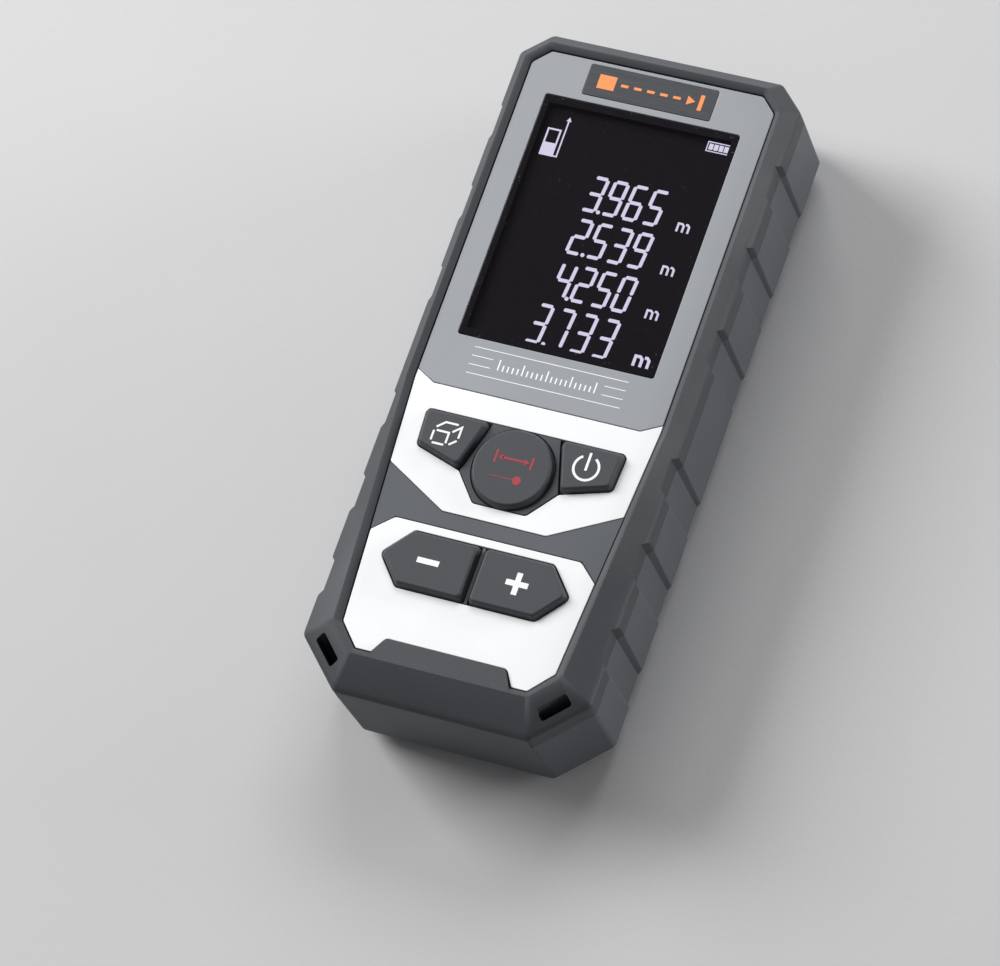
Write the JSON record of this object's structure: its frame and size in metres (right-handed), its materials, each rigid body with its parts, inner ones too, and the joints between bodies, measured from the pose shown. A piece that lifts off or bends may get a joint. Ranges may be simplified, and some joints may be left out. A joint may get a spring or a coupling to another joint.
{
  "type": "laser distance meter",
  "caption": "Handheld laser distance meter with a display, raised keys, grip troughs along its sides, a tripod thread and a sliding battery cover.",
  "frame": {"origin": "the middle of the rear rest face, under the middle of the case", "axes": "lying on its back: +Z out of the display, +Y towards the end where the beam leaves, +X to the right of the display"},
  "size_m": [0.05, 0.118, 0.0252],
  "materials": {
    "grip_rubber": "soft matte moulded grip rubber",
    "case_plastic": "fine matte texture",
    "display_bezel_grey": "satin grey",
    "fascia_white": "semi-gloss white",
    "badge_grey": "satin dark grey",
    "window_glass": "dark tinted, glossy",
    "panel_glass": "black display glass",
    "backlight_white": "white diffusing film and tray",
    "flex_film": "amber flexible film",
    "circuit_board": "green solder mask",
    "chip_plastic": "black moulding",
    "mat_silicone": "matte silicone",
    "key_rubber": "matte soft-touch",
    "carbon_pill": "carbon-filled silicone",
    "chassis_black": "black, low reflection",
    "brass": "machined",
    "lens_glass": "clear, coated",
    "filter_glass": "deep red filter",
    "can_metal": "plated can",
    "cell_jacket": "plain printed jacket",
    "contact_steel": "nickel-plated spring steel",
    "screw_steel": "zinc-plated"
  },
  "bodies": {
    "case": {"front_frame": "grip_rubber", "front_housing": "case_plastic", "display_bezel": "display_bezel_grey", "upper_fascia": "fascia_white", "lower_fascia": "fascia_white", "badge_plate": "badge_grey", "display_window": "window_glass", "display_panel": "panel_glass", "backlight": "backlight_white", "display_tray": "backlight_white", "display_flex": "flex_film", "main_board": "circuit_board", "board_chips": "chip_plastic", "buzzer": "chip_plastic", "keypad_mat": "mat_silicone", "optics_chassis": "chassis_black", "laser_barrel": "brass", "collimator_lens": "lens_glass", "laser_diode": "can_metal", "receiver_lens": "lens_glass", "detector_board": "circuit_board", "photodiode": "can_metal", "end_plate": "chassis_black", "laser_window": "lens_glass", "receiver_window": "filter_glass", "rear_shell": "case_plastic", "cell_left": "cell_jacket", "cell_right": "cell_jacket", "bridge_contact": "contact_steel", "positive_contact": "contact_steel", "negative_spring": "contact_steel", "tripod_insert": "brass", "case_seal": "mat_silicone", "case_screws": "screw_steel", "board_screws": "screw_steel", "optics_screws": "screw_steel"},
    "function_key": {"key_function": "key_rubber", "pill_function": "carbon_pill"},
    "measure_key": {"key_measure": "key_rubber", "pill_measure": "carbon_pill"},
    "power_key": {"key_power": "key_rubber", "pill_power": "carbon_pill"},
    "minus_key": {"key_minus": "key_rubber", "pill_minus": "carbon_pill"},
    "plus_key": {"key_plus": "key_rubber", "pill_plus": "carbon_pill"},
    "cover": {"battery_cover": "case_plastic"}
  },
  "joints": [
    {"name": "function_press", "type": "slide", "parent": "case", "child": "function_key", "axis": [0, 0, -1], "range_m": [0, 0.0008], "stiffness_N_per_m": 1500, "springref_m": -0.0004},
    {"name": "measure_press", "type": "slide", "parent": "case", "child": "measure_key", "axis": [0, 0, -1], "range_m": [0, 0.0008], "stiffness_N_per_m": 1500, "springref_m": -0.0004},
    {"name": "power_press", "type": "slide", "parent": "case", "child": "power_key", "axis": [0, 0, -1], "range_m": [0, 0.0008], "stiffness_N_per_m": 1500, "springref_m": -0.0004},
    {"name": "minus_press", "type": "slide", "parent": "case", "child": "minus_key", "axis": [0, 0, -1], "range_m": [0, 0.0008], "stiffness_N_per_m": 1500, "springref_m": -0.0004},
    {"name": "plus_press", "type": "slide", "parent": "case", "child": "plus_key", "axis": [0, 0, -1], "range_m": [0, 0.0008], "stiffness_N_per_m": 1500, "springref_m": -0.0004},
    {"name": "cover_slide", "type": "slide", "parent": "case", "child": "cover", "axis": [0, -1, 0], "range_m": [0, 0.06]}
  ]
}
